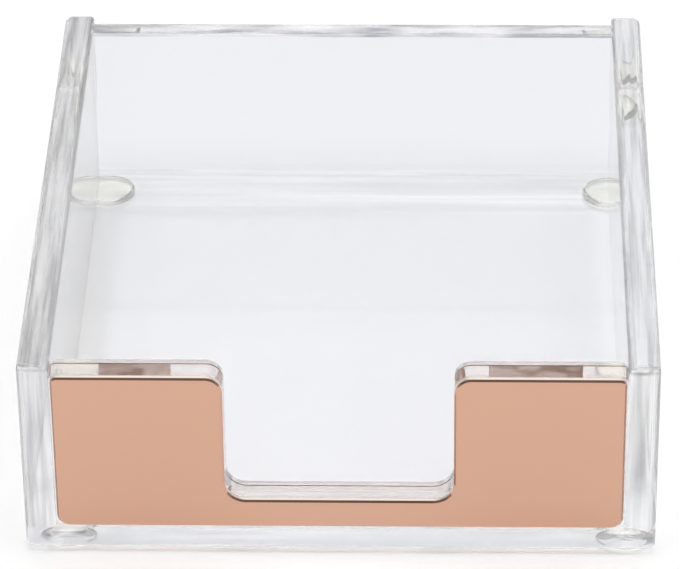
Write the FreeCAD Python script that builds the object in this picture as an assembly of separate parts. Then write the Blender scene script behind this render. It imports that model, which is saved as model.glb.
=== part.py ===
import FreeCAD, Part
import math
import os

# Open desk tray for a pad of square memo notes. Clear acrylic plates are cemented into a box: two
# thick side walls and a lower back wall stand on a full base plate. A notched panel closes the
# front, and two pads of tape hold a thin rose-gold plate of the same outline on it.
# Millimetres, +Z up. The front faces -Y, and the origin is on the desk, under the tray's middle.

# the box
overall_width = 120.0  # over the outer faces of the side walls
overall_depth = 127.0  # from the face plate's front to the back wall's rear
base_thickness = 4.5
side_wall_thickness = 6.0
side_wall_height = 37.5  # above the base plate
wall_edge_radius = 1.6  # polished round on every free edge of a side wall
base_edge_radius = 0.3  # round under the base plate's rim

# the back wall
back_wall_thickness = 4.5
back_wall_drop = 2.2  # its top lies this far below the side walls' tops
back_wall_edge_radius = 0.6

# the front panel and the plate on it share one outline, but for the corners at the base plate
front_panel_thickness = 5.4
front_panel_drop = 2.7  # its top lies this far below the side walls' tops
front_panel_edge_radius = 0.4  # round on the rear edge of its top and notch
top_corner_radius = 1.2  # beside the side walls
notch_width = 43.3
notch_floor_height = 6.5  # strip of panel left between the base plate and the notch
notch_mouth_radius = 3.2
notch_floor_radius = 4.0

# the face plate and its tape
face_plate_thickness = 1.0
face_plate_margin = 0.3  # gap round it to the side walls and the base plate
face_plate_foot_radius = 2.5  # its corners at the base plate, where the panel's are square
face_plate_bevel = 0.35
tape_thickness = 0.15
tape_height = 20.0
tape_drop = 5.0  # from the panel's top down to the tape
tape_insets = {"left": 15.2, "right": 17.0}  # from a side wall's inner face to the pad's middle
tape_widths = {"left": 13.0, "right": 17.5}

# the feet
foot_radius = 5.5
foot_height = 1.5
foot_rim_height = 0.4  # straight rim above the dome
foot_contact_radius = 2.75  # flat at the bottom of the dome
foot_insets_x = {"left": 8.0, "right": 5.8}  # from a side wall's outer face to a foot's centre
foot_insets_y = {"front": 5.8, "rear": 7.0}  # from the front or the rear to a foot's centre

# planes that the pieces share
outer_x = overall_width / 2
inner_x = outer_x - side_wall_thickness
front_y = -overall_depth / 2
rear_y = overall_depth / 2
tape_front_y = front_y + face_plate_thickness
panel_front_y = tape_front_y + tape_thickness
panel_rear_y = panel_front_y + front_panel_thickness
back_wall_front_y = rear_y - back_wall_thickness
base_bottom_z = foot_height
base_top_z = base_bottom_z + base_thickness
side_wall_top_z = base_top_z + side_wall_height
back_wall_top_z = side_wall_top_z - back_wall_drop
panel_top_z = side_wall_top_z - front_panel_drop
notch_floor_z = base_top_z + notch_floor_height

TOLERANCE = 1e-6


def block(low, high):
    size = [high[i] - low[i] for i in range(3)]
    return Part.makeBox(size[0], size[1], size[2], FreeCAD.Vector(*low))


def edges_where(shape, test):
    """The straight or curved edges whose two ends both pass the test."""
    return [edge for edge in shape.Edges if all(test(vertex.Point) for vertex in edge.Vertexes)]


def near(value, target):
    return abs(value - target) < TOLERANCE


def base_plate():
    plate = block((-outer_x, front_y, base_bottom_z), (outer_x, rear_y, base_top_z))
    corners = [edge for edge in plate.Edges if near(edge.Length, base_thickness)]
    plate = plate.makeFillet(wall_edge_radius, corners)
    rim = edges_where(plate, lambda point: near(point.z, base_bottom_z))
    return plate.makeFillet(base_edge_radius, rim)


def side_wall(side):
    faces_x = sorted((side * inner_x, side * outer_x))
    wall = block((faces_x[0], front_y, base_top_z), (faces_x[1], rear_y, side_wall_top_z))
    top = edges_where(wall, lambda point: near(point.z, side_wall_top_z))
    upright = [
        edge
        for edge in edges_where(wall, lambda point: near(point.x, side * outer_x))
        if near(edge.Length, side_wall_height)
    ]
    return wall.makeFillet(wall_edge_radius, top + upright)


def back_wall():
    wall = block((-inner_x, back_wall_front_y, base_top_z), (inner_x, rear_y, back_wall_top_z))
    long_top = [
        edge
        for edge in edges_where(wall, lambda point: near(point.z, back_wall_top_z))
        if near(edge.Length, 2 * inner_x)
    ]
    return wall.makeFillet(back_wall_edge_radius, long_top)


def rounded_outline(corners, y):
    """A closed face in an XZ plane. Each corner is (x, z, radius), in order, and 0 is a square one."""
    edges = []
    starts = []
    ends = []
    for index, (x, z, radius) in enumerate(corners):
        corner = FreeCAD.Vector(x, y, z)
        before = FreeCAD.Vector(corners[index - 1][0], y, corners[index - 1][1])
        following = corners[(index + 1) % len(corners)]
        after = FreeCAD.Vector(following[0], y, following[1])
        back = (before - corner).normalize()
        ahead = (after - corner).normalize()
        start = corner + back * radius
        end = corner + ahead * radius
        middle = corner + (back + ahead) * (radius * (1 - math.sqrt(0.5)))
        if radius > 0:
            edges.append(Part.Arc(start, middle, end).toShape())
        starts.append(start)
        ends.append(end)
    for index, end in enumerate(ends):
        edges.append(Part.LineSegment(end, starts[(index + 1) % len(starts)]).toShape())
    return Part.Face(Part.Wire(Part.__sortEdges__(edges)))


def notched_plate(side, foot, top_corner, foot_corner, y, thickness):
    """A notched plate that reaches out to x = side on each hand and down to z = foot."""
    notch = notch_width / 2
    right = [
        (side, foot, foot_corner),
        (side, panel_top_z, top_corner),
        (notch, panel_top_z, notch_mouth_radius),
        (notch, notch_floor_z, notch_floor_radius),
    ]
    left = [(-x, z, radius) for x, z, radius in reversed(right)]
    outline = rounded_outline(right + left, y)
    return outline.extrude(FreeCAD.Vector(0, thickness, 0))


def front_panel():
    panel = notched_plate(
        inner_x, base_top_z, top_corner_radius, 0, panel_front_y, front_panel_thickness
    )
    # the rear edge is rounded on a wider plate, so that the round stops at the side walls
    wide = notched_plate(outer_x, base_top_z, 0, 0, panel_front_y, front_panel_thickness)
    rear_top = edges_where(
        wide,
        lambda point: near(point.y, panel_rear_y) and point.z > base_top_z + TOLERANCE,
    )
    return panel.common(wide.makeFillet(front_panel_edge_radius, rear_top))


def face_plate():
    side = inner_x - face_plate_margin
    foot_z = base_top_z + face_plate_margin
    plate = notched_plate(
        side, foot_z, top_corner_radius, face_plate_foot_radius, front_y, face_plate_thickness
    )
    front_rim = edges_where(plate, lambda point: near(point.y, front_y))
    return plate.makeChamfer(face_plate_bevel, front_rim)


def tape_pad(name, side):
    half_width = tape_widths[name] / 2
    middle_x = side * (inner_x - tape_insets[name])
    top_z = panel_top_z - tape_drop
    return block(
        (middle_x - half_width, tape_front_y, top_z - tape_height),
        (middle_x + half_width, panel_front_y, top_z),
    )


def foot(centre_x, centre_y):
    """A domed bumper: flat contact disc, round dome, short rim, and a flat top under the base."""
    dome_height = foot_height - foot_rim_height
    dome_run = foot_radius - foot_contact_radius
    dome_arc_radius = (dome_run**2 + dome_height**2) / (2 * dome_height)
    half_sweep = math.atan2(dome_height, dome_run)
    contact_edge = FreeCAD.Vector(foot_contact_radius, 0, 0)
    dome_middle = FreeCAD.Vector(
        foot_contact_radius + dome_arc_radius * math.sin(half_sweep),
        0,
        dome_arc_radius * (1 - math.cos(half_sweep)),
    )
    dome_top = FreeCAD.Vector(foot_radius, 0, dome_height)
    rim_top = FreeCAD.Vector(foot_radius, 0, foot_height)
    top_centre = FreeCAD.Vector(0, 0, foot_height)
    origin = FreeCAD.Vector(0, 0, 0)
    profile = Part.Wire(
        [
            Part.makeLine(origin, contact_edge),
            Part.Arc(contact_edge, dome_middle, dome_top).toShape(),
            Part.makeLine(dome_top, rim_top),
            Part.makeLine(rim_top, top_centre),
            Part.makeLine(top_centre, origin),
        ]
    )
    bumper = Part.Face(profile).revolve(origin, FreeCAD.Vector(0, 0, 1), 360)
    bumper.translate(FreeCAD.Vector(centre_x, centre_y, 0))
    return bumper


def tray():
    nodes = {
        "base_plate": base_plate(),
        "left_wall": side_wall(-1),
        "right_wall": side_wall(1),
        "back_wall": back_wall(),
        "front_panel": front_panel(),
        "face_plate": face_plate(),
        "tape_pad_left": tape_pad("left", -1),
        "tape_pad_right": tape_pad("right", 1),
    }
    for end, side_y in (("front", -1), ("rear", 1)):
        for hand, side_x in (("left", -1), ("right", 1)):
            centre_x = side_x * (outer_x - foot_insets_x[hand])
            centre_y = side_y * (rear_y - foot_insets_y[end])
            nodes[f"foot_{end}_{hand}"] = foot(centre_x, centre_y)
    return nodes


os.makedirs("parts", exist_ok=True)
for name, shape in tray().items():
    shape.exportStep(f"parts/{name}.step")
    box = shape.BoundBox
    print(
        f"{name}: {len(shape.Solids)} solid, {shape.Volume:.1f} mm3, valid {shape.isValid()},",
        f"x {box.XMin:.2f} {box.XMax:.2f}, y {box.YMin:.2f} {box.YMax:.2f},",
        f"z {box.ZMin:.2f} {box.ZMax:.2f}",
    )
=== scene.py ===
import math
import bmesh
import bpy
from mathutils import Matrix, Vector


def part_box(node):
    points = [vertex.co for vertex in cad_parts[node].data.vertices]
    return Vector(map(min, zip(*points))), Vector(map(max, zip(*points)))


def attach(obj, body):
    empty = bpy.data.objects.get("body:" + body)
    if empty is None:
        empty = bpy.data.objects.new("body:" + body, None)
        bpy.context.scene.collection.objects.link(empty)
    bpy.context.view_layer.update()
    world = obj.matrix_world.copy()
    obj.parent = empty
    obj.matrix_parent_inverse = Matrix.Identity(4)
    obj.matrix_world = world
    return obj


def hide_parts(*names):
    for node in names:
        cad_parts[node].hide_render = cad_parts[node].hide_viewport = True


# Open desk tray for square memo notes. Five clear acrylic plates are cemented into a box, a thin
# rose-gold plate is taped to the notched front panel, and four clear bumpers stand under the base.
# Sizes of pieces are in millimetres: their meshes are made in them and go to metres last. Sizes of
# the patterns on them are in metres.

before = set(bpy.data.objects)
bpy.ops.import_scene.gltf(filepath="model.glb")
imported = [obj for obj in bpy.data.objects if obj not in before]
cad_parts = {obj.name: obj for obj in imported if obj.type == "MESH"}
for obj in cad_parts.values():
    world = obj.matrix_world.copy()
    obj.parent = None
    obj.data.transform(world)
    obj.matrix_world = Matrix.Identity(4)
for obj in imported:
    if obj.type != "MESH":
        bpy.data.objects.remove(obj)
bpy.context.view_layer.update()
bpy.context.scene.view_settings.view_transform = "Standard"
lightPaths = {  # clear plates pass light many times before it leaves them
    "max_bounces": 64,
    "diffuse_bounces": 12,
    "glossy_bounces": 64,
    "transmission_bounces": 64,
    "transparent_max_bounces": 64,
}
for key, count in lightPaths.items():
    setattr(bpy.context.scene.cycles, key, count)
bpy.context.scene.cycles.blur_glossy = 0  # a blur here would dim the paper under the clear plates
metresInOne = 0.001  # metres in a millimetre
print("frame loaded:", ", ".join(sorted(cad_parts)))


def cornersOf(node):  # its lowest and highest corner, in millimetres
    low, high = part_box(node)
    return low / metresInOne, high / metresInOne


camera = {
    "focalLength": 234.33,  # on a sensor 36 wide
    "sensorWidth": 36.0,
    "target": (-1.224, -3.5, 21.072),
    "distance": 882.3,
    "yaw": 1.776,  # degrees to the left of straight ahead
    "pitch": 34.483,  # degrees down
    "roll": -0.742,  # degrees
    "clipFrom": 0.05,  # metres
    "clipTo": 50.0,
}


def makeCamera():
    yaw = math.radians(camera["yaw"])
    pitch = math.radians(camera["pitch"])
    roll = math.radians(camera["roll"])
    level = Vector((math.cos(yaw), math.sin(yaw), 0))
    ahead = Vector((-math.sin(yaw) * math.cos(pitch), math.cos(yaw) * math.cos(pitch), -math.sin(pitch)))
    above = level.cross(ahead)
    right = math.cos(roll) * level + math.sin(roll) * above
    up = math.cos(roll) * above - math.sin(roll) * level
    place = Vector(camera["target"]) - ahead * camera["distance"]
    data = bpy.data.cameras.new("deskCamera")
    data.lens = camera["focalLength"]
    data.sensor_width = camera["sensorWidth"]
    data.clip_start = camera["clipFrom"]
    data.clip_end = camera["clipTo"]
    holder = bpy.data.objects.new("deskCamera", data)
    holder.matrix_world = Matrix(
        [[right[i], up[i], -ahead[i], place[i] * metresInOne] for i in range(3)] + [[0, 0, 0, 1]]
    )
    bpy.context.scene.collection.objects.link(holder)
    bpy.context.scene.camera = holder


makeCamera()
print("camera placed")


def addNode(tree, kind, **settings):
    node = tree.nodes.new(kind)
    for key, value in settings.items():
        setattr(node, key, value)
    return node


def join(tree, source, target):  # the source is a socket or a plain value
    if isinstance(source, bpy.types.NodeSocket):
        tree.links.new(source, target)
    else:
        target.default_value = source


def mathNode(tree, operation, *values):
    node = addNode(tree, "ShaderNodeMath", operation=operation)
    for socket, value in zip(node.inputs, values):
        join(tree, value, socket)
    return node.outputs[0]


def vectorNode(tree, operation, first, second):
    node = addNode(tree, "ShaderNodeVectorMath", operation=operation)
    join(tree, first, node.inputs[0])
    join(tree, second, node.inputs[1])
    return node


def mixNode(tree, kind, factor, first, second):
    node = addNode(tree, "ShaderNodeMix", data_type=kind)
    for label, value in (("Factor", factor), ("A", first), ("B", second)):
        join(tree, value, node.inputs[label])
    return node.outputs["Result"]


def mapRange(tree, value, fromLow, fromHigh, toLow=0.0, toHigh=1.0, shape="LINEAR"):
    node = addNode(tree, "ShaderNodeMapRange", interpolation_type=shape)
    join(tree, value, node.inputs["Value"])
    limits = {"From Min": fromLow, "From Max": fromHigh, "To Min": toLow, "To Max": toHigh}
    for label, limit in limits.items():
        join(tree, limit, node.inputs[label])
    return node.outputs["Result"]


def sidesOf(tree, vector):
    node = addNode(tree, "ShaderNodeSeparateXYZ")
    join(tree, vector, node.inputs[0])
    return node.outputs


def ownPlace(tree):  # a point's place on its own piece
    return addNode(tree, "ShaderNodeTexCoord").outputs["Object"]


def newGroup(name, inputs, outputs):
    group = bpy.data.node_groups.new(name, "ShaderNodeTree")
    for label, kind, value in inputs:
        socket = group.interface.new_socket(name=label, in_out="INPUT", socket_type=kind)
        socket.default_value = value
    for label, kind in outputs:
        group.interface.new_socket(name=label, in_out="OUTPUT", socket_type=kind)
    source = addNode(group, "NodeGroupInput").outputs
    sink = addNode(group, "NodeGroupOutput").inputs
    return group, source, sink


def placeGroup(tree, group, **values):
    node = addNode(tree, "ShaderNodeGroup", node_tree=group)
    for label, value in values.items():
        node.inputs[label].default_value = value
    return node.outputs[0]


def addNoise(tree, vector, wavelength, detail):
    node = addNode(tree, "ShaderNodeTexNoise")
    join(tree, vector, node.inputs["Vector"])
    join(tree, mathNode(tree, "DIVIDE", 1.0, wavelength), node.inputs["Scale"])
    join(tree, detail, node.inputs["Detail"])
    return node.outputs["Fac"]


# the effects that several materials share; a noise gives about 0.3 to 0.7
swell = {
    "detail": 1.0,
    "strength": 1.0,
}
wipes = {
    "detail": 4.0,
    "cleanBelow": 0.45,
    "wornAbove": 0.8,
}
streaking = {
    "detail": 3.0,
    "darkBelow": 0.36,
    "lightAbove": 0.62,
}


def buildSheetWave():  # the slow swell of a cast or flame-polished surface
    group, source, sink = newGroup(
        "sheetWave",
        [
            ("Wavelength", "NodeSocketFloat", 0.02),
            ("Height", "NodeSocketFloat", 0.00002),
            ("Stretch", "NodeSocketVector", (1, 1, 1)),
        ],
        [("Normal", "NodeSocketVector")],
    )
    place = vectorNode(group, "MULTIPLY", ownPlace(group), source["Stretch"]).outputs[0]
    bump = addNode(group, "ShaderNodeBump")
    join(group, swell["strength"], bump.inputs["Strength"])
    join(group, addNoise(group, place, source["Wavelength"], swell["detail"]), bump.inputs["Height"])
    join(group, source["Height"], bump.inputs["Distance"])
    join(group, bump.outputs["Normal"], sink["Normal"])
    return group


def buildHandling():  # faint wiping marks and dust, as a roughness
    group, source, sink = newGroup(
        "handling",
        [
            ("Clean", "NodeSocketFloat", 0.0),
            ("Worn", "NodeSocketFloat", 0.03),
            ("Patch", "NodeSocketFloat", 0.03),
        ],
        [("Roughness", "NodeSocketFloat")],
    )
    noise = addNoise(group, ownPlace(group), source["Patch"], wipes["detail"])
    roughness = mapRange(
        group, noise, wipes["cleanBelow"], wipes["wornAbove"], source["Clean"], source["Worn"]
    )
    join(group, roughness, sink["Roughness"])
    return group


def buildEdgeStreaks():  # light and shade that run along a sawn and polished edge
    group, source, sink = newGroup(
        "edgeStreaks",
        [
            ("Wavelength", "NodeSocketFloat", 0.001),
            ("Stretch", "NodeSocketVector", (1, 1, 1)),
            ("Light", "NodeSocketColor", (1, 1, 1, 1)),
            ("Dark", "NodeSocketColor", (0.5, 0.5, 0.5, 1)),
        ],
        [("Color", "NodeSocketColor")],
    )
    place = vectorNode(group, "MULTIPLY", ownPlace(group), source["Stretch"]).outputs[0]
    noise = addNoise(group, place, source["Wavelength"], streaking["detail"])
    share = mapRange(group, noise, streaking["darkBelow"], streaking["lightAbove"])
    join(group, mixNode(group, "RGBA", share, source["Dark"], source["Light"]), sink["Color"])
    return group


sheetWave = buildSheetWave()
handling = buildHandling()
edgeStreaks = buildEdgeStreaks()


def newMaterial(name, values):  # the values go on the shader's own sockets
    material = bpy.data.materials.new(name)
    material.use_nodes = True
    for label, value in values.items():
        socketOf(material, label).default_value = value
    return material


def socketOf(material, label):
    return material.node_tree.nodes["Principled BSDF"].inputs[label]


def addMarks(material, clean, worn, patch):
    tree = material.node_tree
    marks = placeGroup(tree, handling, Clean=clean, Worn=worn, Patch=patch)
    join(tree, marks, socketOf(material, "Roughness"))


acrylic = {
    "indexOfRefraction": 1.49,
    "markPatch": 0.03,
    "faceWave": 0.05,  # wavelength
    "faceSwell": 0.00002,  # height
    "edgeWave": 0.003,
    "edgeSwell": 0.00006,
    "edgeHaze": (0.05, 0.16),
    "edgeRun": 0.12,  # ripples are this much slower along an edge than across it
    "streakWave": 0.001,
    "streakRun": 0.04,
}
# for each sheet the tint of its faces, the light and dark of its edges, and its faces' least and
# most roughness
sheets = {
    # painted shade: the left wall is a darker copy of the same acrylic as the right
    "left": {
        "face": (0.83, 0.83, 0.835, 1),
        "light": (0.9, 0.9, 0.91, 1),
        "dark": (0.33, 0.33, 0.34, 1),
        "uprights": {  # its ends, which catch more light than its long edges
            "light": (0.98, 0.98, 0.99, 1),
            "dark": (0.45, 0.45, 0.465, 1),
        },
        "haze": (0.0, 0.08),
        "faceStreaks": {  # faint painted bands of shade along its faces
            "wavelength": 0.008,
            "stretch": (1, 0.03, 1),
            "dark": (0.62, 0.62, 0.62, 1),
        },
    },
    # painted light: the right wall is a lighter copy of the same acrylic as the left
    "right": {
        "face": (0.86, 0.865, 0.875, 1),
        "light": (0.92, 0.925, 0.935, 1),
        "dark": (0.5, 0.505, 0.52, 1),
        "uprights": {
            "light": (1, 1, 1, 1),
            "dark": (0.66, 0.665, 0.68, 1),
        },
        "haze": (0.0, 0.08),
        # faint painted bands of shade along its faces
        "faceStreaks": {
            "wavelength": 0.005,
            "stretch": (1, 0.05, 1),
            "dark": (0.76, 0.76, 0.76, 1),
        },
    },
    "back": {
        "face": (0.828, 0.836, 0.865, 1),
        "light": (0.95, 0.955, 0.97, 1),
        "dark": (0.22, 0.225, 0.27, 1),
        "streakWave": 0.0022,  # broader patches than on the others
        "streakRun": 0.16,
        "haze": (0.0, 0.08),
    },
    "base": {
        "face": (0.88, 0.883, 0.9, 1),
        "light": (0.9, 0.905, 0.93, 1),
        "dark": (0.68, 0.69, 0.72, 1),
        "haze": (0.08, 0.16),
        "faceStreaks": {  # light and shade in front of the back wall's cemented joint
            "wavelength": 0.0034,
            "stretch": (0.03, 1, 1),
            "light": (1, 1, 1, 1),
            "dark": (0.78, 0.79, 0.81, 1),
            "from": 0.046,  # behind the middle
            "full": 0.05,
        },
        "cornerShade": {  # painted shade, darker towards the left wall
            "tint": (0.76, 0.76, 0.76, 1),
            "from": -0.047,  # to the right of the middle
            "full": -0.055,
        },
    },
    "panel": {
        "face": (0.87, 0.875, 0.895, 1),
        # painted reflection: the panel's edges are tinted pink for the rose-gold plate in front of them
        "light": (0.88, 0.81, 0.785, 1),
        "dark": (0.76, 0.69, 0.665, 1),
        "haze": (0.0, 0.08),
    },
}


def makeAcrylic(name, tint, wavelength, height, haze, stretch=(1, 1, 1)):
    material = newMaterial(
        name,
        {"Base Color": tint, "IOR": acrylic["indexOfRefraction"], "Transmission Weight": 1.0},
    )
    tree = material.node_tree
    wave = placeGroup(tree, sheetWave, Wavelength=wavelength, Height=height, Stretch=stretch)
    join(tree, wave, socketOf(material, "Normal"))
    addMarks(material, haze[0], haze[1], acrylic["markPatch"])
    return material


def makeEdge(name, tints, axis):  # a polished edge that runs along an axis
    stretch = [1, 1, 1]
    stretch[axis] = acrylic["edgeRun"]
    material = makeAcrylic(
        name, tints["light"], acrylic["edgeWave"], acrylic["edgeSwell"], acrylic["edgeHaze"], stretch
    )
    stretch[axis] = tints.get("streakRun", acrylic["streakRun"])
    wavelength = tints.get("streakWave", acrylic["streakWave"])
    tree = material.node_tree
    streaks = placeGroup(
        tree, edgeStreaks,
        Wavelength=wavelength, Stretch=stretch, Light=tints["light"], Dark=tints["dark"],
    )
    join(tree, streaks, socketOf(material, "Base Color"))
    return material


def addFaceStreaks(material, tint, streaks):
    tree = material.node_tree
    colour = placeGroup(
        tree, edgeStreaks,
        Wavelength=streaks["wavelength"], Stretch=streaks["stretch"],
        Light=streaks.get("light", tint), Dark=streaks["dark"],
    )
    if "from" in streaks:
        fade = mapRange(tree, sidesOf(tree, ownPlace(tree))["Y"], streaks["from"], streaks["full"])
        colour = mixNode(tree, "RGBA", fade, tint, colour)
    join(tree, colour, socketOf(material, "Base Color"))


# painted shade on a sheet's faces, darker towards one side
def addCornerShade(material, shade):
    tree = material.node_tree
    socket = socketOf(material, "Base Color")
    colour = socket.links[0].from_socket
    fade = mapRange(tree, sidesOf(tree, ownPlace(tree))["X"], shade["from"], shade["full"])
    join(tree, mixNode(tree, "RGBA", fade, colour, shade["tint"]), socket)


# a sheet's faces, its cemented faces and its polished edges along x, y and z, as the slots count them
def makeSheetMaterials(name, weld):
    sheet = sheets[name]
    face = makeAcrylic(
        name + "Face", sheet["face"], acrylic["faceWave"], acrylic["faceSwell"], sheet["haze"]
    )
    if "faceStreaks" in sheet:
        addFaceStreaks(face, sheet["face"], sheet["faceStreaks"])
    if "cornerShade" in sheet:
        addCornerShade(face, sheet["cornerShade"])
    uprights = sheet.get("uprights", sheet)
    return [
        face,
        weld,
        makeEdge(name + "EdgeAcross", sheet, 0),
        makeEdge(name + "EdgeDeep", sheet, 1),
        makeEdge(name + "EdgeUpright", uprights, 2),
    ]


paintedSeamShade = {  # the dark line between the panel's two layers, a painted shade
    "tint": (0.12, 0.08, 0.07, 1),
    "haze": (0.5, 0.65),
    "patch": 0.02,
}


def makeSeamShade():
    material = newMaterial("paintedSeamShade", {"Base Color": paintedSeamShade["tint"], "Specular IOR Level": 0.0})
    addMarks(material, *paintedSeamShade["haze"], paintedSeamShade["patch"])
    return material


roseGold = {
    "tint": (0.655, 0.39, 0.282, 1),
    "haze": (0.1, 0.13),
    # painted highlight: the plate's bevels and edges get a lighter copy of the gold
    "rimPaintedTint": (0.95, 0.8, 0.72, 1),
    "rimHaze": (0.3, 0.39),
    "patch": 0.02,
}


def makeRoseGold(name, tint, haze):
    material = newMaterial(name, {"Base Color": tint, "Metallic": 1.0})
    addMarks(material, *haze, roseGold["patch"])
    return material


adhesive = {
    "wet": (0.42, 0.27, 0.19, 1),  # where it has wetted the acrylic
    "dry": (0.93, 0.79, 0.71, 1),
    "wetBelow": 0.42,
    "dryAbove": 0.6,
    "patch": 0.005,
    "detail": 3.0,
    "seed": 2.8,
    "middle": 0.038,  # of each pad, from the tray's middle
    "drier": 9.0,  # more of it is dry towards the tray's middle, for each metre
    "roughness": 0.6,
}


def makeAdhesive():
    material = newMaterial(
        "tapeAdhesive", {"Roughness": adhesive["roughness"], "Specular IOR Level": 0.0}
    )
    tree = material.node_tree
    place = ownPlace(tree)
    noise = addNode(tree, "ShaderNodeTexNoise", noise_dimensions="4D")
    join(tree, place, noise.inputs["Vector"])
    join(tree, adhesive["seed"], noise.inputs["W"])
    join(tree, 1 / adhesive["patch"], noise.inputs["Scale"])
    join(tree, adhesive["detail"], noise.inputs["Detail"])
    aside = mathNode(tree, "ABSOLUTE", sidesOf(tree, place)["X"])
    inward = mathNode(tree, "SUBTRACT", adhesive["middle"], aside)
    lean = mathNode(tree, "MULTIPLY", inward, adhesive["drier"])
    total = mathNode(tree, "ADD", noise.outputs["Fac"], lean)
    share = mapRange(tree, total, adhesive["wetBelow"], adhesive["dryAbove"])
    colour = mixNode(tree, "RGBA", share, adhesive["wet"], adhesive["dry"])
    join(tree, colour, socketOf(material, "Base Color"))
    return material


bumperRubber = {
    "tint": (0.89, 0.895, 0.83, 1),
    # painted shade: a darker copy of the rubber for the foot's rim
    "rimPaintedTint": (0.74, 0.75, 0.68, 1),
    "indexOfRefraction": 1.49,
    "haze": (0.02, 0.05),
    "patch": 0.004,
}


def makeBumperRubber(name, tint):
    material = newMaterial(
        name,
        {"Base Color": tint, "IOR": bumperRubber["indexOfRefraction"], "Transmission Weight": 1.0},
    )
    addMarks(material, *bumperRubber["haze"], bumperRubber["patch"])
    return material


weld = newMaterial("solventWeld", {"Alpha": 0.0})  # light runs on from plate to plate
leftSheet = makeSheetMaterials("left", weld)
rightSheet = makeSheetMaterials("right", weld)
backSheet = makeSheetMaterials("back", weld)
baseSheet = makeSheetMaterials("base", weld)
panelSheet = makeSheetMaterials("panel", weld) + [makeSeamShade()]
gold = [
    makeRoseGold("roseGoldPlate", roseGold["tint"], roseGold["haze"]),
    makeRoseGold("roseGoldRimHighlight", roseGold["rimPaintedTint"], roseGold["rimHaze"]),
]
tapeAdhesive = makeAdhesive()
bumper = makeBumperRubber("clearBumper", bumperRubber["tint"])
bumperRimShade = makeBumperRubber("clearBumperRimShade", bumperRubber["rimPaintedTint"])
print("materials made")

# slots in a sheet's materials, in the order that makeSheetMaterials gives
faceSlot = 0
weldSlot = 1
edgeSlots = (2, 3, 4)  # edges that run along x, y and z
seamShadeSlot = 5

tiny = 1e-4
squareFrom = 0.999  # cosine from which a face counts as square to an axis


def near(value, target):
    return abs(value - target) < tiny


def blockMesh(low, high):
    mesh = bmesh.new()
    bmesh.ops.create_cube(mesh, size=1.0)
    for vertex in mesh.verts:
        vertex.co = [low[i] if vertex.co[i] < 0 else high[i] for i in range(3)]
    return mesh


def edgesWhere(mesh, test, length=None):  # both ends pass the test, and the length is right
    edges = [edge for edge in mesh.edges if all(test(vertex.co) for vertex in edge.verts)]
    if length is None:
        return edges
    return [edge for edge in edges if near(edge.calc_length(), length)]


rounding = {
    "steps": 8,  # strips in a quarter round
    "profile": 0.5,  # a circle
}


def roundEdges(mesh, edges, radius, steps=rounding["steps"]):
    bmesh.ops.bevel(
        mesh, geom=edges, offset=radius, offset_type="OFFSET", segments=steps,
        profile=rounding["profile"], affect="EDGES",
    )


def facesIn(mesh, axis, level):
    return [face for face in mesh.faces if all(near(vertex.co[axis], level) for vertex in face.verts)]


def setSlot(faces, slot):
    for face in faces:
        face.material_index = slot


# gives every face but a plate's two sheet faces the finish of a polished edge
def polishEdges(mesh, thin):
    mesh.normal_update()
    for face in mesh.faces:
        if abs(face.normal[thin]) > squareFrom:
            continue
        spans = [
            max(vertex.co[i] for vertex in face.verts) - min(vertex.co[i] for vertex in face.verts)
            for i in range(3)
        ]
        spans[thin] = 0
        face.material_index = edgeSlots[spans.index(max(spans))]


def cutFaces(mesh, faces, place, direction):
    parts = list(faces)
    for face in faces:
        parts.extend(face.edges)
        parts.extend(face.verts)
    eachOnce = list(dict.fromkeys(parts))
    bmesh.ops.bisect_plane(
        mesh, geom=eachOnce, dist=tiny, plane_co=Vector(place), plane_no=Vector(direction)
    )


# gives the weld finish to what lies inside a window in one plane of a plate
def weldWindow(mesh, axis, level, low, high):
    others = [i for i in range(3) if i != axis]
    for side in others:
        for border in (low[side], high[side]):
            place = [0, 0, 0]
            place[side] = border
            direction = [0, 0, 0]
            direction[side] = 1
            cutFaces(mesh, facesIn(mesh, axis, level), place, direction)
    for face in facesIn(mesh, axis, level):
        middle = face.calc_center_median()
        if all(low[side] - tiny < middle[side] < high[side] + tiny for side in others):
            face.material_index = weldSlot


weldedDisc = {
    "sides": 32,
    "clearedOut": 1.5,  # radii from its centre within which the pieces cut off it lose the weld
}


# the same inside a circle in a level face: a square window is cut down side by side
def weldDisc(mesh, level, centre, radius):
    def welded(reach):
        return [
            face
            for face in facesIn(mesh, 2, level)
            if face.material_index == weldSlot and (face.calc_center_median() - centre).length < reach
        ]

    corner = Vector((radius, radius, 0))
    weldWindow(mesh, 2, level, centre - corner, centre + corner)
    current = welded(radius)[0]
    apothem = radius * math.cos(math.pi / weldedDisc["sides"])
    for step in range(weldedDisc["sides"]):
        angle = 2 * math.pi * (step + 0.5) / weldedDisc["sides"]
        outward = Vector((math.cos(angle), math.sin(angle), 0))
        cutFaces(mesh, [current], centre + outward * apothem, outward)
        current = max(welded(radius), key=lambda face: face.calc_area())
    outside = [face for face in welded(weldedDisc["clearedOut"] * radius) if face is not current]
    setSlot(outside, faceSlot)


shading = {
    "sharpFrom": 30,  # degrees
    "faceWeight": 100,
}


def finishPiece(name, mesh, materials, nodes):
    bmesh.ops.scale(mesh, vec=(metresInOne,) * 3, verts=mesh.verts)
    bmesh.ops.recalc_face_normals(mesh, faces=mesh.faces)
    for face in mesh.faces:
        face.smooth = True
    data = bpy.data.meshes.new(name)
    mesh.to_mesh(data)
    mesh.free()
    data.set_sharp_from_angle(angle=math.radians(shading["sharpFrom"]))
    for material in materials:
        data.materials.append(material)
    piece = bpy.data.objects.new(name, data)
    bpy.context.scene.collection.objects.link(piece)
    weights = piece.modifiers.new("evenNormals", "WEIGHTED_NORMAL")
    weights.keep_sharp = True
    weights.weight = shading["faceWeight"]
    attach(piece, "root")
    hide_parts(*nodes)


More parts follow.
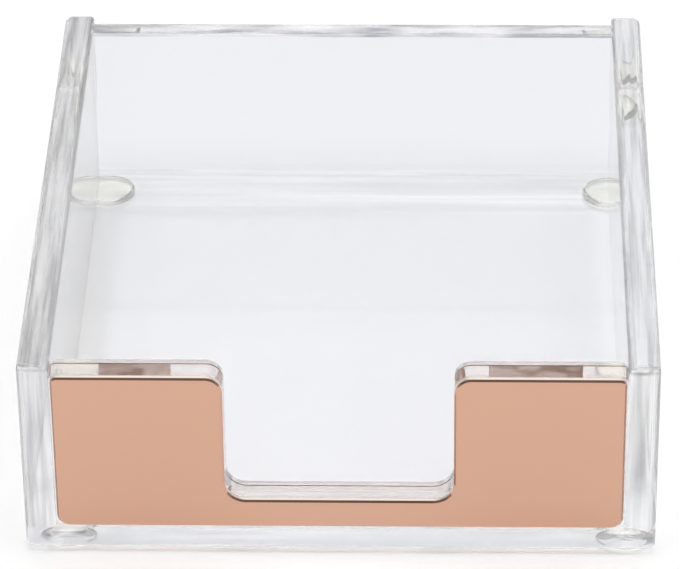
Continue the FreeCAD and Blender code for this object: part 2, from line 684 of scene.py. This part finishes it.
baseLow, baseHigh = cornersOf("base_plate")
leftLow, leftHigh = cornersOf("left_wall")
rightLow, rightHigh = cornersOf("right_wall")
backLow, backHigh = cornersOf("back_wall")
panelLow, panelHigh = cornersOf("front_panel")
plateLow, plateHigh = cornersOf("face_plate")
footNodes = ["foot_front_left", "foot_front_right", "foot_rear_left", "foot_rear_right"]

basePlate = {
    "cornerRound": 1.6,
    "rimRound": 0.3,  # under its rim
}


def makeBasePlate():
    mesh = blockMesh(baseLow, baseHigh)
    uprights = edgesWhere(mesh, lambda p: True, baseHigh.z - baseLow.z)
    roundEdges(mesh, uprights, basePlate["cornerRound"])
    roundEdges(mesh, edgesWhere(mesh, lambda p: near(p.z, baseLow.z)), basePlate["rimRound"])
    polishEdges(mesh, 2)
    weldWindow(mesh, 2, baseHigh.z, leftLow, leftHigh)
    weldWindow(mesh, 2, baseHigh.z, rightLow, rightHigh)
    weldWindow(mesh, 2, baseHigh.z, backLow, backHigh)
    weldWindow(mesh, 2, baseHigh.z, panelLow, panelHigh)
    for node in footNodes:
        low, high = cornersOf(node)
        middle = (low + high) / 2
        weldDisc(mesh, baseLow.z, Vector((middle.x, middle.y, baseLow.z)), feet["radius"])
    finishPiece("clearBase", mesh, baseSheet, ["base_plate"])


sideWalls = {
    "round": 1.6,  # on every free edge
}


def makeWall(name, node, side, sheet):
    low, high = cornersOf(node)
    outerX = low.x if side < 0 else high.x
    innerX = high.x if side < 0 else low.x
    mesh = blockMesh(low, high)
    top = edgesWhere(mesh, lambda p: near(p.z, high.z))
    uprights = edgesWhere(mesh, lambda p: near(p.x, outerX), high.z - low.z)
    roundEdges(mesh, top + uprights, sideWalls["round"])
    polishEdges(mesh, 0)
    setSlot(facesIn(mesh, 2, low.z), weldSlot)
    weldWindow(mesh, 0, innerX, backLow, backHigh)
    panelTo = Vector((0, panelHigh.y, panelHigh.z - frontPanel["topCorner"]))
    weldWindow(mesh, 0, innerX, panelLow, panelTo)
    finishPiece(name, mesh, sheet, [node])


backWall = {
    "round": 0.6,  # on its long top edges
}


def makeBackWall():
    mesh = blockMesh(backLow, backHigh)
    longTop = edgesWhere(mesh, lambda p: near(p.z, backHigh.z), backHigh.x - backLow.x)
    roundEdges(mesh, longTop, backWall["round"])
    polishEdges(mesh, 1)
    setSlot(facesIn(mesh, 2, backLow.z), weldSlot)
    for endX in (backLow.x, backHigh.x):
        setSlot(facesIn(mesh, 0, endX), weldSlot)
    finishPiece("clearBack", mesh, backSheet, ["back_wall"])


frontPanel = {
    "topCorner": 1.2,
    "notchWidth": 43.3,
    "notchFloor": 6.5,  # above the base plate
    "notchMouth": 3.2,
    "notchFloorCorner": 4.0,
    "cornerSteps": 10,
    "rearRound": 0.4,  # on the rear edge of its top and notch
    "rearSteps": 4,
    "rearLayer": 1.5,  # it is laminated from two layers
    "layerGap": 0.02,
    "seam": 0.28,  # width of the painted line of shade that shows between them
}


# the front's outline, drawn in by a margin: (x, z) points in order, seen from the front
def notchedOutline(margin, footCorner):
    side = panelHigh.x - margin
    foot = panelLow.z + margin
    top = panelHigh.z
    notch = frontPanel["notchWidth"] / 2
    notchFloor = panelLow.z + frontPanel["notchFloor"]
    right = [
        (side, foot, footCorner),
        (side, top, frontPanel["topCorner"]),
        (notch, top, frontPanel["notchMouth"]),
        (notch, notchFloor, frontPanel["notchFloorCorner"]),
    ]
    turns = right + [(-x, z, radius) for x, z, radius in reversed(right)]
    steps = frontPanel["cornerSteps"]
    points = []
    for index, (x, z, radius) in enumerate(turns):
        corner = Vector((x, z))
        if radius == 0:
            points.append(corner)
            continue
        before = (Vector(turns[index - 1][:2]) - corner).normalized()
        after = (Vector(turns[(index + 1) % len(turns)][:2]) - corner).normalized()
        centre = corner + (before + after) * radius
        for step in range(steps + 1):
            sweep = math.pi / 2 * step / steps
            points.append(centre - after * radius * math.cos(sweep) - before * radius * math.sin(sweep))
    return points


# a slab between the first and the last level in y; returns the rim's faces between each two levels
def addSlab(mesh, points, levels):
    rings = [[mesh.verts.new((x, level, z)) for x, z in points] for level in levels]
    mesh.faces.new(rings[0])
    mesh.faces.new(list(reversed(rings[-1])))
    rims = []
    for nearRing, farRing in zip(rings, rings[1:]):
        rims.append([])
        for index in range(len(points)):
            following = (index + 1) % len(points)
            around = (nearRing[index], farRing[index], farRing[following], nearRing[following])
            rims[-1].append(mesh.faces.new(around))
    mesh.normal_update()  # the bevels that follow need it
    return rims


def makeFrontPanel():
    def onRearEdge(p):  # but not at the side walls or the base plate
        return near(p.y, panelHigh.y) and p.z > panelLow.z + tiny and abs(p.x) < panelHigh.x - tiny

    outline = notchedOutline(0, 0)
    seam = panelHigh.y - frontPanel["rearLayer"]
    mesh = bmesh.new()
    levels = (panelLow.y, seam - frontPanel["seam"], seam - frontPanel["layerGap"])
    rims = addSlab(mesh, outline, levels)
    addSlab(mesh, outline, (seam, panelHigh.y))
    roundEdges(mesh, edgesWhere(mesh, onRearEdge), frontPanel["rearRound"], frontPanel["rearSteps"])
    polishEdges(mesh, 1)
    # the seam's rim faces get the painted shade
    setSlot(rims[1], seamShadeSlot)
    setSlot(facesIn(mesh, 2, panelLow.z), weldSlot)
    for endX in (panelLow.x, panelHigh.x):
        setSlot(facesIn(mesh, 0, endX), weldSlot)
    for node in ("tape_pad_left", "tape_pad_right"):
        low, high = cornersOf(node)
        weldWindow(mesh, 1, panelLow.y, low, high)
    finishPiece("clearPanel", mesh, panelSheet, ["front_panel"])


facePlate = {
    "margin": 0.3,  # gap to the side walls and the base plate
    "footCorner": 2.5,
    "bevel": 0.35,
    "rimBelow": 0.5,  # a face that looks less than this to the front or rear is part of the rim
}


def makeFacePlate():
    outline = notchedOutline(facePlate["margin"], facePlate["footCorner"])
    mesh = bmesh.new()
    addSlab(mesh, outline, (plateLow.y, plateHigh.y))
    roundEdges(mesh, edgesWhere(mesh, lambda p: near(p.y, plateLow.y)), facePlate["bevel"], 1)
    mesh.normal_update()
    setSlot([face for face in mesh.faces if abs(face.normal.y) < facePlate["rimBelow"]], 1)
    finishPiece("roseGoldFront", mesh, gold, ["face_plate"])


tapePads = {
    "skin": 0.02,  # they stop this short of what they stick to, so that no two faces coincide
}


def makeTapePad(name, node):
    low, high = cornersOf(node)
    skin = Vector((0, tapePads["skin"], 0))
    finishPiece(name, blockMesh(low + skin, high - skin), [tapeAdhesive], [node])


feet = {
    "radius": 5.5,
    "contactRadius": 2.75,
    "rim": 0.4,
    "height": 1.5,
    "rimFrom": 0.7,  # the foot is painted darker above this height, as shade
    "sides": 48,
    "domeSteps": 12,
    "mergeWithin": 0.001,
}


def buildBumperTree():  # a domed foot, turned from its profile, on every point of the base mesh
    tree = bpy.data.node_groups.new("bumperFeet", "GeometryNodeTree")
    tree.interface.new_socket(name="Points", in_out="INPUT", socket_type="NodeSocketGeometry")
    for label in ("Radius", "Contact Radius", "Rim", "Height"):
        tree.interface.new_socket(name=label, in_out="INPUT", socket_type="NodeSocketFloat")
    tree.interface.new_socket(name="Sides", in_out="INPUT", socket_type="NodeSocketInt")
    tree.interface.new_socket(name="Feet", in_out="OUTPUT", socket_type="NodeSocketGeometry")
    source = addNode(tree, "NodeGroupInput").outputs
    sink = addNode(tree, "NodeGroupOutput").inputs

    def point(out, up):  # of the profile, whose y runs down when it is swept round the path
        corner = addNode(tree, "ShaderNodeCombineXYZ")
        join(tree, out, corner.inputs["X"])
        join(tree, mathNode(tree, "MULTIPLY", up, -1.0), corner.inputs["Y"])
        return corner.outputs[0]

    def disc(radius, height):
        flat = addNode(tree, "GeometryNodeMeshCircle", fill_type="NGON")
        join(tree, source["Sides"], flat.inputs["Vertices"])
        join(tree, radius, flat.inputs["Radius"])
        raised = addNode(tree, "ShaderNodeCombineXYZ")
        join(tree, height, raised.inputs["Z"])
        lift = addNode(tree, "GeometryNodeTransform")
        join(tree, flat.outputs[0], lift.inputs[0])
        join(tree, raised.outputs[0], lift.inputs["Translation"])
        return lift.outputs[0]

    # the dome is an arc that leaves the contact disc level with the desk
    run = mathNode(tree, "SUBTRACT", source["Radius"], source["Contact Radius"])
    rise = mathNode(tree, "SUBTRACT", source["Height"], source["Rim"])
    runSquared = mathNode(tree, "MULTIPLY", run, run)
    riseSquared = mathNode(tree, "MULTIPLY", rise, rise)
    squares = mathNode(tree, "ADD", runSquared, riseSquared)
    arcRadius = mathNode(tree, "DIVIDE", squares, mathNode(tree, "MULTIPLY", rise, 2.0))
    halfSweep = mathNode(tree, "ARCTAN2", rise, run)
    middleX = mathNode(tree, "MULTIPLY", arcRadius, mathNode(tree, "SINE", halfSweep))
    drop = mathNode(tree, "SUBTRACT", 1.0, mathNode(tree, "COSINE", halfSweep))
    middleY = mathNode(tree, "MULTIPLY", arcRadius, drop)
    inset = mathNode(tree, "MULTIPLY", run, -1.0)  # from the path, which follows the rim
    dome = addNode(tree, "GeometryNodeCurveArc", mode="POINTS")
    join(tree, feet["domeSteps"], dome.inputs["Resolution"])
    join(tree, point(inset, 0.0), dome.inputs["Start"])
    join(tree, point(mathNode(tree, "ADD", inset, middleX), middleY), dome.inputs["Middle"])
    join(tree, point(0.0, rise), dome.inputs["End"])
    rim = addNode(tree, "GeometryNodeCurvePrimitiveLine")
    join(tree, point(0.0, rise), rim.inputs["Start"])
    join(tree, point(0.0, source["Height"]), rim.inputs["End"])
    profile = addNode(tree, "GeometryNodeJoinGeometry")
    join(tree, dome.outputs["Curve"], profile.inputs[0])
    join(tree, rim.outputs["Curve"], profile.inputs[0])
    path = addNode(tree, "GeometryNodeCurvePrimitiveCircle")
    join(tree, source["Sides"], path.inputs["Resolution"])
    join(tree, source["Radius"], path.inputs["Radius"])
    turned = addNode(tree, "GeometryNodeCurveToMesh")
    join(tree, path.outputs["Curve"], turned.inputs["Curve"])
    join(tree, profile.outputs[0], turned.inputs["Profile Curve"])

    underside = addNode(tree, "GeometryNodeFlipFaces")
    join(tree, disc(source["Contact Radius"], 0.0), underside.inputs[0])
    shell = addNode(tree, "GeometryNodeJoinGeometry")
    join(tree, turned.outputs[0], shell.inputs[0])
    join(tree, underside.outputs[0], shell.inputs[0])
    join(tree, disc(source["Radius"], source["Height"]), shell.inputs[0])
    closed = addNode(tree, "GeometryNodeMergeByDistance")
    join(tree, feet["mergeWithin"], closed.inputs["Distance"])
    join(tree, shell.outputs[0], closed.inputs[0])
    placed = addNode(tree, "GeometryNodeInstanceOnPoints")
    join(tree, source["Points"], placed.inputs["Points"])
    join(tree, closed.outputs[0], placed.inputs["Instance"])
    single = addNode(tree, "GeometryNodeRealizeInstances")
    join(tree, placed.outputs[0], single.inputs[0])
    dressed = addNode(tree, "GeometryNodeSetMaterial")
    dressed.inputs["Material"].default_value = bumper
    join(tree, single.outputs[0], dressed.inputs[0])
    join(tree, dressed.outputs[0], sink[0])
    return tree


def makeFeet():
    points = bpy.data.meshes.new("footPoints")
    middles = []
    for node in footNodes:
        low, high = cornersOf(node)
        middles.append(((low.x + high.x) / 2, (low.y + high.y) / 2, low.z))
    points.from_pydata(middles, [], [])
    holder = bpy.data.objects.new("footPoints", points)
    bpy.context.scene.collection.objects.link(holder)
    modifier = holder.modifiers.new("bumperFeet", "NODES")
    modifier.node_group = buildBumperTree()
    sizes = {
        "Radius": feet["radius"],
        "Contact Radius": feet["contactRadius"],
        "Rim": feet["rim"],
        "Height": feet["height"],
        "Sides": feet["sides"],
    }
    for item in modifier.node_group.interface.items_tree:
        if item.in_out == "INPUT" and item.name in sizes:
            modifier[item.identifier] = sizes[item.name]
    depsgraph = bpy.context.evaluated_depsgraph_get()
    plain = bpy.data.meshes.new_from_object(holder.evaluated_get(depsgraph))
    mesh = bmesh.new()
    mesh.from_mesh(plain)
    bpy.data.objects.remove(holder)
    bpy.data.meshes.remove(points)
    bpy.data.meshes.remove(plain)
    for face in mesh.faces:  # its slots are the rubber, the weld under the base plate and the rim, which is painted darker as shade
        height = face.calc_center_median().z
        if near(height, feet["height"]):
            face.material_index = 1
        else:
            face.material_index = 2 if height > feet["rimFrom"] else 0
    finishPiece("clearBumpers", mesh, [bumper, weld, bumperRimShade], footNodes)


makeBasePlate()
makeWall("clearLeftWall", "left_wall", -1, leftSheet)
makeWall("clearRightWall", "right_wall", 1, rightSheet)
makeBackWall()
makeFrontPanel()
makeFacePlate()
makeTapePad("tapeLeft", "tape_pad_left")
makeTapePad("tapeRight", "tape_pad_right")
makeFeet()
print("pieces made")

paper = {
    "reach": 4000.0,
    "gap": 0.02,  # the feet's contact faces stay clear of it
    "white": 0.9,
    "roughness": 0.9,
    "lift": 0.14,  # brings the lit paper up to white where it is seen
}


def makeFloor():
    reach = paper["reach"] * metresInOne
    level = -paper["gap"] * metresInOne
    data = bpy.data.meshes.new("floor")
    corners = [(x * reach, y * reach, level) for x, y in ((-1, -1), (1, -1), (1, 1), (-1, 1))]
    data.from_pydata(corners, [], [(0, 1, 2, 3)])
    floor = bpy.data.objects.new("floor", data)
    bpy.context.scene.collection.objects.link(floor)
    white = paper["white"]
    material = newMaterial(
        "floorPaper",
        {
            "Base Color": (white, white, white, 1),
            "Roughness": paper["roughness"],
            "Specular IOR Level": 0.0,
            "Emission Color": (1, 1, 1, 1),
        },
    )
    tree = material.node_tree
    path = addNode(tree, "ShaderNodeLightPath").outputs
    seen = mathNode(tree, "MAXIMUM", path["Is Camera Ray"], path["Is Glossy Ray"])
    seen = mathNode(tree, "MAXIMUM", seen, path["Is Transmission Ray"])
    join(tree, mathNode(tree, "MULTIPLY", seen, paper["lift"]), socketOf(material, "Emission Strength"))
    data.materials.append(material)


# directions: heights are sines of an elevation, and leans are sines of an angle to the front
studio = {
    "horizonTop": 0.15,  # height up to which the world is white
    "domeFrom": 0.45,  # height from which it is grey
    "domeGrey": 0.6,
    "lighterRight": 0.2,
}
lightStreaks = {  # upright streaks of light and shade in the room
    "scale": 14.0,
    "detail": 2.0,
    "tall": 0.2,
    "from": 0.35,  # of the noise
    "to": 0.65,
    "dark": 0.45,
    "light": 1.15,
}
rearSoftbox = {
    "towards": (0, 0.82, 0.57),
    "full": 0.975,  # cosine inside which it is at its full light
    "gone": 0.92,  # cosine outside which it adds nothing
    "light": 1.15,
    "streakTo": 0.6,  # of the noise
    "streakDark": 0.7,
}
darkRoom = {  # a dark band over the camera, in leans
    "from": 0.25,
    "full": 0.42,
    "until": 0.62,
    "gone": 0.75,
    "light": 0.5,
}


def softRange(tree, value, fromLow, fromHigh, toLow, toHigh):
    return mapRange(tree, value, fromLow, fromHigh, toLow, toHigh, "SMOOTHSTEP")


def makeWorld():
    world = bpy.data.worlds.new("studio")
    world.use_nodes = True
    bpy.context.scene.world = world
    tree = world.node_tree
    direction = addNode(tree, "ShaderNodeTexCoord").outputs["Generated"]
    sides = sidesOf(tree, direction)
    light = softRange(tree, sides["Z"], studio["horizonTop"], studio["domeFrom"], 1.0, studio["domeGrey"])

    noise = addNode(tree, "ShaderNodeTexNoise")
    tall = vectorNode(tree, "MULTIPLY", direction, (1, 1, lightStreaks["tall"]))
    join(tree, tall.outputs[0], noise.inputs["Vector"])
    join(tree, lightStreaks["scale"], noise.inputs["Scale"])
    join(tree, lightStreaks["detail"], noise.inputs["Detail"])
    streaks = softRange(
        tree, noise.outputs["Fac"], lightStreaks["from"], lightStreaks["to"],
        lightStreaks["dark"], lightStreaks["light"],
    )
    light = mathNode(tree, "MULTIPLY", light, streaks)

    boxStreaks = softRange(
        tree, noise.outputs["Fac"], lightStreaks["from"], rearSoftbox["streakTo"],
        rearSoftbox["streakDark"], 1.0,
    )
    boxLight = mathNode(tree, "MULTIPLY", boxStreaks, rearSoftbox["light"])
    towards = vectorNode(tree, "DOT_PRODUCT", direction, Vector(rearSoftbox["towards"]).normalized())
    inBox = softRange(tree, towards.outputs["Value"], rearSoftbox["gone"], rearSoftbox["full"], 0.0, 1.0)
    light = mixNode(tree, "FLOAT", inBox, light, boxLight)

    lean = mathNode(tree, "MULTIPLY", sides["Y"], -1.0)
    above = softRange(tree, lean, darkRoom["from"], darkRoom["full"], 1.0, darkRoom["light"])
    below = softRange(tree, lean, darkRoom["until"], darkRoom["gone"], 0.0, 1.0)
    light = mathNode(tree, "MULTIPLY", light, mathNode(tree, "MAXIMUM", above, below))
    sideways = mathNode(tree, "MULTIPLY", sides["X"], studio["lighterRight"])
    light = mathNode(tree, "MULTIPLY", light, mathNode(tree, "ADD", sideways, 1.0))
    background = tree.nodes["Background"]
    join(tree, light, background.inputs["Strength"])
    join(tree, (1, 1, 1, 1), background.inputs["Color"])


topLamp = {
    "size": 900.0,
    "place": (0, -50.0, 1100.0),
    "power": 8.1,
}


def makeTopLamp():
    data = bpy.data.lights.new("topLamp", "AREA")
    data.shape = "SQUARE"
    data.size = topLamp["size"] * metresInOne
    data.energy = topLamp["power"]
    lamp = bpy.data.objects.new("topLamp", data)
    place = Vector(topLamp["place"]) * metresInOne
    lamp.location = place
    lamp.rotation_mode = "QUATERNION"
    lamp.rotation_quaternion = (-place).to_track_quat("-Z", "Y")  # it aims at the tray's middle
    lamp.visible_camera = False
    bpy.context.scene.collection.objects.link(lamp)


makeFloor()
makeWorld()
makeTopLamp()
print("studio made")
